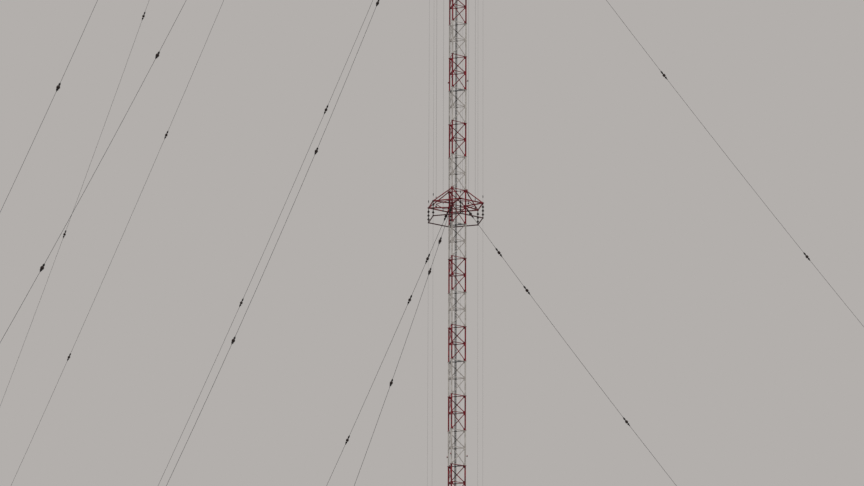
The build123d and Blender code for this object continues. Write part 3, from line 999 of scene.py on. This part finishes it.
# %% Add the anchor fittings
anchor_places = [move for radius in anchor_radii.values()
                 for move in spread(radius, legs.values())]
base = plate("base", 1.5 * real, 0.7 * real, 0.03 * real, corner=0.08 * real,
             place=(0, 0, block_top + 0.015 * real))
nut = bolt_head("nut", 0.09 * real, 0.07 * real)
nuts = placed(nut, [shift(x * 0.6 * real, y * 0.24 * real, block_top + 0.03 * real)
                    for x in (-1, 0, 1) for y in (-1, 1)], "nuts")
rib = moved(plate("rib", 0.26 * real, 0.34 * real, 0.03 * real, corner=0.1 * real),
            quarter["Z"] @ quarter["X"])
ribs = placed(rib, [shift(x * 0.35 * real, y * 0.17 * real, block_top + 0.16 * real)
                    for x in (-1, 1) for y in (-1, 1)], "ribs")
eye_pin = bar("eye_pin", 0.09 * real, -0.12 * real, 0.12 * real, 10)
washer = bar("washer", 0.15 * real, -0.085 * real, 0.085 * real, 14)
for piece in (eye_pin, washer):
    moved(piece, shift(0, 0, anchor_height) @ quarter["X"])
anchor_fitting = joined("anchor_fitting", base, nuts, ribs, eye_pin, washer)
dress(placed(anchor_fitting, anchor_places, "anchor_fittings"), "galvanised_steel")

# %% [markdown]
# ## Crown insulator strings
# Under each corner of a crown hangs a string of three porcelain beads on a steel rod, which keeps
# the lower ring off the upper one. Each bead is a bell with a skirt, capped above and below.

# %% Add the crown strings
ring_radius = 3.32 * real
ring_bar = 0.08 * real
thin_ring_bar = 0.06 * real
thin_ring_drop = 1.72 * real
bead_radius = 0.150 * real
bead_spacing = 0.45 * real
bead_height = 0.27 * real
corner_azimuths = [30 + 60 * corner for corner in range(6)]
inner_azimuths = [60 * corner for corner in range(6)]
inner_ring_radius = 2.27 * real
crown_heights = {crown: sum(corner.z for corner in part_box(f"{crown}_crown_ring")) / 2
                 for crown in ("foot", "middle", "top")}
string_middle = (-ring_bar / 2 - thin_ring_drop) / 2

bell = [(0.30, 0.0), (0.62, 0.06), (0.94, 0.20), (1.0, 0.36), (0.86, 0.52), (0.60, 0.70),
        (0.42, 0.86), (0.30, 1.0)]
cap = [(0.16, -0.30), (0.30, -0.26), (0.34, -0.02), (0.24, 0.0)]
upper_cap = [(share, 1 - lift) for share, lift in reversed(cap)]
for crown in ("middle", "top"):
    bead = turned("bead", profile(bell, bead_radius, bead_height), vertices=14)
    caps = [turned("cap", profile(outline, bead_radius, bead_height), vertices=10)
            for outline in (cap, upper_cap)]
    fitting = joined("fitting", *caps)
    corners = spread(ring_radius, corner_azimuths, crown_heights[crown])
    inner_corners = spread(inner_ring_radius, inner_azimuths, crown_heights[crown])
    lifts = [shift(0, 0, string_middle + step * bead_spacing - bead_height / 2)
             for step in (-1, 0, 1)]
    moves = [corner @ lift for corner in corners for lift in lifts]
    beads = smooth(placed(bead, moves, f"{crown}_crown_beads"), 50)
    dress(beads, "brown_glaze", f"{crown}_crown_insulators")
    fittings = placed(fitting, moves, "fittings")
    drop = turned("drop", profile(bell, bead_radius * 0.7, 0.24 * real, -0.30 * real), vertices=12)
    dress(smooth(placed(drop, inner_corners, f"{crown}_inner_beads"), 50), "brown_glaze")
    hook = bar("hook", 0.03 * real, -0.08 * real, 0.06 * real, 8)
    hooks = placed(hook, inner_corners, "hooks")
    rod = bar("rod", 0.022 * real, -thin_ring_drop, -ring_bar / 2, 8)
    shackle = turned("shackle", profile([(0.03, 0), (0.06, 0.02), (0.06, 0.10), (0.03, 0.12)]),
                     vertices=8)
    shackles = placed(shackle, [shift(0, 0, -thin_ring_drop),
                                shift(0, 0, -ring_bar / 2 - 0.12 * real)], "shackles")
    hangers = placed(joined("hanger", rod, shackles), corners, "hangers")
    dress(smooth(joined(f"{crown}_crown_hangers", fittings, hangers, hooks)), "dark_steel")

# %% [markdown]
# ## Crown rings and brackets
# A crown's rings are six tubes each, and a bracket is a level arm and a stay from higher up the
# leg. They stand out darker and heavier against the sky than the bracing, so they are a little
# thicker.

# %% Model the rings and brackets
stay_rise = 1.86 * real
arm_radius, stay_radius = 0.075 * real, 0.061 * real
ring_radii = {"ring": 0.075 * real, "thin_ring": 0.067 * real, "inner_ring": 0.043 * real}


def tubes_between(name, pairs, radius):
    """An eight-sided tube between each pair of points."""
    tubes = []
    for start, end in pairs:
        tube = bar("tube", radius, 0, (end - start).length, 8)
        tubes.append(moved(tube, along(start, end - start)))
    return smooth(joined(name, *tubes), 50)


def ring_pairs(radius, azimuths, height):
    corners = [polar(radius, azimuth, height) for azimuth in azimuths]
    return list(zip(corners, corners[1:] + corners[:1]))


for crown, height in crown_heights.items():
    rings = {"ring": (ring_radius, corner_azimuths, height)}
    if crown != "foot":
        rings["thin_ring"] = (ring_radius, corner_azimuths,
                              height - thin_ring_drop - thin_ring_bar / 2)
        rings["inner_ring"] = (inner_ring_radius, inner_azimuths,
                               height + ring_bar / 2 + 0.025 * real)
    for kind, sizes in rings.items():
        tubes = tubes_between(f"{crown}_{kind}_tubes", ring_pairs(*sizes), ring_radii[kind])
        # The thin lower ring takes the red darkened as painted shade.
        finish = shaded_red_paint if kind == "thin_ring" else red_paint
        dress(tubes, "red_paint", f"{crown}_crown_{kind}", finish=finish)
    arms, stays = [], []
    for azimuth in legs.values():
        for corner in (azimuth - 30, azimuth + 30):
            tip = polar(ring_radius, corner, height)
            arms.append((polar(leg_circle, azimuth, height), tip))
            stays.append((polar(leg_circle, azimuth, height + stay_rise), tip))
    brackets = joined(f"{crown}_bracket_tubes", tubes_between("arms", arms, arm_radius),
                      tubes_between("stays", stays, stay_radius))
    dress(brackets, "red_paint", f"{crown}_crown_brackets")

# %% [markdown]
# ## Crown corners
# At each corner a pair of plates sandwiches the mitred ring bars and the end of the bracket, held
# by bolts. The lower ring has smaller clips. Without them the ring would look like one bent wire.

# %% Add the corner plates
def corner_plates(size, gap, thickness):
    """An upper and a lower plate round the origin, its arm pointing outwards along X."""
    sheet = plate("sheet", size, size * 1.25, thickness, corner=size * 0.3)
    bolts = placed(bolt_head("bolt", 0.05 * real, 0.035 * real),
                   [shift(x * size * 0.22, y * size * 0.3, thickness / 2)
                    for x in (-1, 1) for y in (-1, 1)], "bolts")
    upper = moved(joined("upper", sheet, bolts), shift(0, 0, gap / 2 + thickness / 2))
    return placed(upper, [Matrix.Identity(4), turned_over], "corner_plates")


plate_inset = 0.05 * real
for crown, height in crown_heights.items():
    plates = placed(corner_plates(0.30 * real, ring_bar, 0.016 * real),
                    spread(ring_radius - plate_inset, corner_azimuths, height),
                    f"{crown}_corner_plates")
    dress(plates, "red_paint")
for crown in ("middle", "top"):
    height = crown_heights[crown] - thin_ring_drop - thin_ring_bar / 2
    clips = placed(corner_plates(0.16 * real, thin_ring_bar, 0.012 * real),
                   spread(ring_radius, corner_azimuths, height), f"{crown}_ring_clips")
    dress(clips, "dark_steel")

# %% [markdown]
# ## Crown collars
# Each bracket's arms and stays meet its leg at a split collar with bolted ears.

# %% Add the collars
for crown, height in crown_heights.items():
    collar = leg_band("collar", 0.22 * real)
    ear = plate("ear", 0.16 * real, 0.20 * real, 0.035 * real, corner=0.03 * real)
    ear = moved(ear, shift(band_radius + 0.04 * real, 0, 0) @ quarter["X"])
    ears = placed(ear, [at((0, 0, 0), turn) for turn in (15, -15)], "ears")
    collar = joined("collar", collar, ears)
    collars = placed(collar, [at(polar(leg_circle, azimuth, height + lift), azimuth)
                              for azimuth in legs.values() for lift in (0, stay_rise)],
                     f"{crown}_collars")
    dress(smooth(collars), "red_paint")

# %% [markdown]
# ## Cage wires
# The cage's wires are so thin that a camera at 380 m sees them as faint grey lines. Each is one
# straight six-sided strand from ring to ring. Its foot has a tension fitting, which shows in the
# photograph as a short dark spindle above the ring.

# %% String the cage wires
outer_wire, inner_wire = 0.0065 * real, 0.009 * real
for run, radius, azimuths, thickness in (
        ("lower", ring_radius, corner_azimuths, outer_wire),
        ("upper", ring_radius, corner_azimuths, outer_wire),
        ("inner", inner_ring_radius, inner_azimuths, inner_wire)):
    low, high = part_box(f"{run}_cage_wires")
    wire = bar("wire", thickness, low.z, high.z, 6)
    wires = placed(wire, spread(radius, azimuths, facing=False), f"{run}_cage_strands")
    dress(smooth(wires, 70), "wire_steel", f"{run}_cage_wires")

# %% Add the wire fittings
def wire_fitting(name):
    """A spindle round a wire, 34 cm long."""
    steps = [(0.012, 0.0), (0.03, 0.03), (0.045, 0.10), (0.045, 0.24), (0.03, 0.31), (0.012, 0.34)]
    return turned(name, profile(steps), vertices=8)


fitting_gap = 0.55 * real
moves = []
for crown, height in crown_heights.items():
    if crown != "top":
        moves += spread(ring_radius, corner_azimuths, height + ring_bar / 2 + fitting_gap, False)
moves += spread(inner_ring_radius, inner_azimuths,
                crown_heights["middle"] + ring_bar + fitting_gap, False)
dress(smooth(placed(wire_fitting("wire_fitting"), moves, "wire_fittings"), 50), "dark_steel")

# %% [markdown]
# ## Obstruction lamps
# A lamp is a ribbed red glass dome on a cast base, with a small finial on top.

# %% Add the lamps
lamp_reach = 0.14 * real
lamp_lift = 1.0 * real
lamp_radius = 0.07 * real
arm_top = 0.04 * real
lamp_places = [at((0, 0, joint_height(section) + lamp_lift), azimuth)
               @ shift(leg_circle + leg_radius + lamp_reach, 0, arm_top)
               for section in lamp_sections for azimuth in legs.values()]
dome = [(0.80, 0.025), (1.0, 0.035), (0.93, 0.055), (1.0, 0.07), (0.90, 0.09), (0.94, 0.105),
        (0.72, 0.13), (0.35, 0.148)]
glass = turned("lamp_dome", profile(dome, lamp_radius), vertices=12)
dress(smooth(placed(glass, lamp_places, "lamp_domes"), 50), "lamp_glass", "obstruction_lamps")
base_steps = [(0.95, 0.0), (1.08, 0.008), (1.08, 0.02), (0.9, 0.026)]
cast_base = turned("cast_base", profile(base_steps, lamp_radius), vertices=12)
finial_steps = [(0.34, 0.146), (0.38, 0.152), (0.12, 0.16), (0.10, 0.172)]
finial = turned("finial", profile(finial_steps, lamp_radius), vertices=8)
dress(smooth(placed(joined("lamp_metal", cast_base, finial), lamp_places, "lamp_bases")),
      "galvanised_steel")

# %% [markdown]
# ## Base insulator
# The whole mast stands on one porcelain body between steel caps, waisted and ribbed so that rain
# can't run down it in one film.

# %% Add the base insulator
insulator_low, insulator_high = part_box("base_insulator")
tall = insulator_high.z - insulator_low.z
wide = (insulator_high.x - insulator_low.x) / 2
ribbed = [(0.74, 0.14), (0.80, 0.18), (1.0, 0.24), (0.97, 0.29), (0.74, 0.36), (0.80, 0.42),
          (1.0, 0.48), (0.97, 0.53), (0.74, 0.60), (0.80, 0.66), (1.0, 0.72), (0.97, 0.77),
          (0.74, 0.86)]
porcelain = turned("base_porcelain", profile(ribbed, wide, tall, insulator_low.z), vertices=32)
dress(smooth(porcelain, 50), "brown_glaze", "base_insulator")
low_steps = [(1.05, 0.0), (1.05, 0.06), (0.9, 0.10), (0.86, 0.15)]
high_steps = [(0.86, 0.85), (0.9, 0.90), (1.05, 0.94), (1.05, 1.0)]
caps = [turned("cap", profile(steps, wide, tall, insulator_low.z), vertices=32)
        for steps in (low_steps, high_steps)]
dress(smooth(joined("base_caps", *caps)), "galvanised_steel")

# %% Add the bed bolts and the foot's ribs
bed_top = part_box("bed_plate")[1].z
bed_bolts = bolt_circle("bed_bolts", 0.08 * real, 0.09 * real, 0.42 * real, 6, bed_top, 30)
foot_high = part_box("foot_frame")[1]
foot_bolts = bolt_circle("foot_bolts", 0.05 * real, 0.04 * real, leg_radius + 0.085 * real, 6, 0)
foot_bolts = placed(foot_bolts, spread(leg_circle, legs.values(), foot_high.z), "foot_bolts")
shoe = turned("shoe", profile([(1.9, 0), (1.85, 0.03), (1.15, 0.16), (1.0, 0.17)], leg_radius))
shoes = placed(shoe, spread(leg_circle, legs.values(), foot_high.z, False), "shoes")
dress(joined("base_fittings", bed_bolts, foot_bolts, shoes), "galvanised_steel")

# %% [markdown]
# ## Head
# On the head plate stands a beacon, a larger ribbed lamp with a guard, and the rod takes
# lightning.

# %% Add the beacon
beacon_low, beacon_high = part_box("beacon")
tall = beacon_high.z - beacon_low.z
wide = (beacon_high.y - beacon_low.y) / 2
ribs = (0.92, 0.86, 0.94, 0.87, 0.94, 0.87, 0.94, 0.86, 0.90)
lens_steps = [(0.82, 0.18)] + [(share, 0.22 + step * 0.055) for step, share in enumerate(ribs)]
lens_steps += [(0.62, 0.78), (0.45, 0.82)]
lens = turned("beacon_lens", profile(lens_steps, wide, tall, beacon_low.z), vertices=24)
dress(smooth(lens, 50), "lamp_glass", "beacon")
stand_steps = [(1.0, 0.0), (1.0, 0.10), (0.84, 0.13), (0.84, 0.19)]
stand = turned("beacon_stand", profile(stand_steps, wide, tall, beacon_low.z), vertices=24)
cowl_steps = [(0.46, 0.81), (0.66, 0.84), (0.62, 0.90), (0.3, 0.95), (0.2, 1.0)]
cowl = turned("beacon_cowl", profile(cowl_steps, wide, tall, beacon_low.z), vertices=24)
guard = bar("guard", 0.011 * real, beacon_low.z, beacon_low.z + tall * 0.86, 6)
guards = placed(guard, spread(wide * 0.98, (0, 90, 180, 270), facing=False), "guards")
dress(smooth(joined("beacon_metal", stand, cowl, guards)), "galvanised_steel")

# %% Add the lightning rod
rod_low, rod_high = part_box("lightning_rod")
rod_radius = (rod_high.x - rod_low.x) / 2
tall = rod_high.z - rod_low.z
rod_steps = [(1.7, 0.0), (1.7, 0.04), (1.0, 0.06), (1.0, 0.55), (0.72, 0.57), (0.6, 0.93),
             (0.12, 1.0)]
rod = turned("tapered_rod", profile(rod_steps, rod_radius, tall, rod_low.z), vertices=12)
rod = moved(rod, shift((rod_low.x + rod_high.x) / 2, (rod_low.y + rod_high.y) / 2, 0))
dress(smooth(rod), "galvanised_steel", "lightning_rod")

# %% [markdown]
# ## Floor, light and background
# A plain pale floor under soft light shows the shapes without telling a story. A mast's members
# are thin, so the light is mostly the world's own, with one broad sun for form. Camera and glossy
# rays see a pale overcast grey instead of the light itself.

# %% Lay the floor
bpy.ops.object.select_all(action="DESELECT")
floor_radius, floor_drop = 420, 0.002
bpy.ops.mesh.primitive_circle_add(vertices=128, radius=floor_radius, fill_type="NGON",
                                  location=(0, 0, -floor_drop))
floor = bpy.context.object
floor.name = "floor"
floor_material, tree, shader, place = start_material("matt_floor_paint", Roughness=1.0,
                                                     Specular_IOR_Level=0.0)
cloud_size = 2.5
clouds = add_node(tree, "ShaderNodeTexNoise", Vector=place, Scale=1 / cloud_size, Detail=3.0)
tone = add_node(tree, "ShaderNodeValToRGB", clouds, stops=((0.3, "b9b4b1"), (0.7, "bbb6b3")))
connect(tree, shader, Base_Color=tone)
floor.data.materials.append(floor_material)
print("floor laid")

# %% Light the scene
sun_turn = radians(38), radians(12), radians(-35)
sun_strength, sun_breadth = 1.3, radians(25)
world_strength = 0.62

bpy.ops.object.select_all(action="DESELECT")
bpy.ops.object.light_add(type="SUN", rotation=sun_turn)
sun = bpy.context.object
sun.data.energy = sun_strength
sun.data.angle = sun_breadth

world = bpy.context.scene.world or bpy.data.worlds.new("studio")
bpy.context.scene.world = world
world.use_nodes = True
tree = world.node_tree
tree.nodes.clear()
rays = add_node(tree, "ShaderNodeLightPath").outputs
seen = add_node(tree, "ShaderNodeMath", rays["Is Camera Ray"], rays["Is Glossy Ray"],
                settings={"operation": "MAXIMUM"})
seen = add_node(tree, "ShaderNodeMath", seen, rays["Is Transmission Ray"],
                settings={"operation": "MAXIMUM"})
light = add_node(tree, "ShaderNodeBackground", Color=hex_colour("ffffff"), Strength=world_strength)
sky = add_node(tree, "ShaderNodeBackground", Color=hex_colour("b3afac"), Strength=1.0)
mixed = add_node(tree, "ShaderNodeMixShader", seen, light, sky)
add_node(tree, "ShaderNodeOutputWorld", Surface=mixed)
bpy.context.scene.view_settings.view_transform = "Standard"
print("lit by a broad sun and a pale world")

# %% [markdown]
# ## Finish
# The last cell updates the scene and prints the number of faces in all.

# %% Count the faces
bpy.context.view_layer.update()
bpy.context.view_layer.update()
faces = sum(len(piece.data.polygons) for piece in bpy.data.objects if piece.type == "MESH")
print("faces in all:", faces)
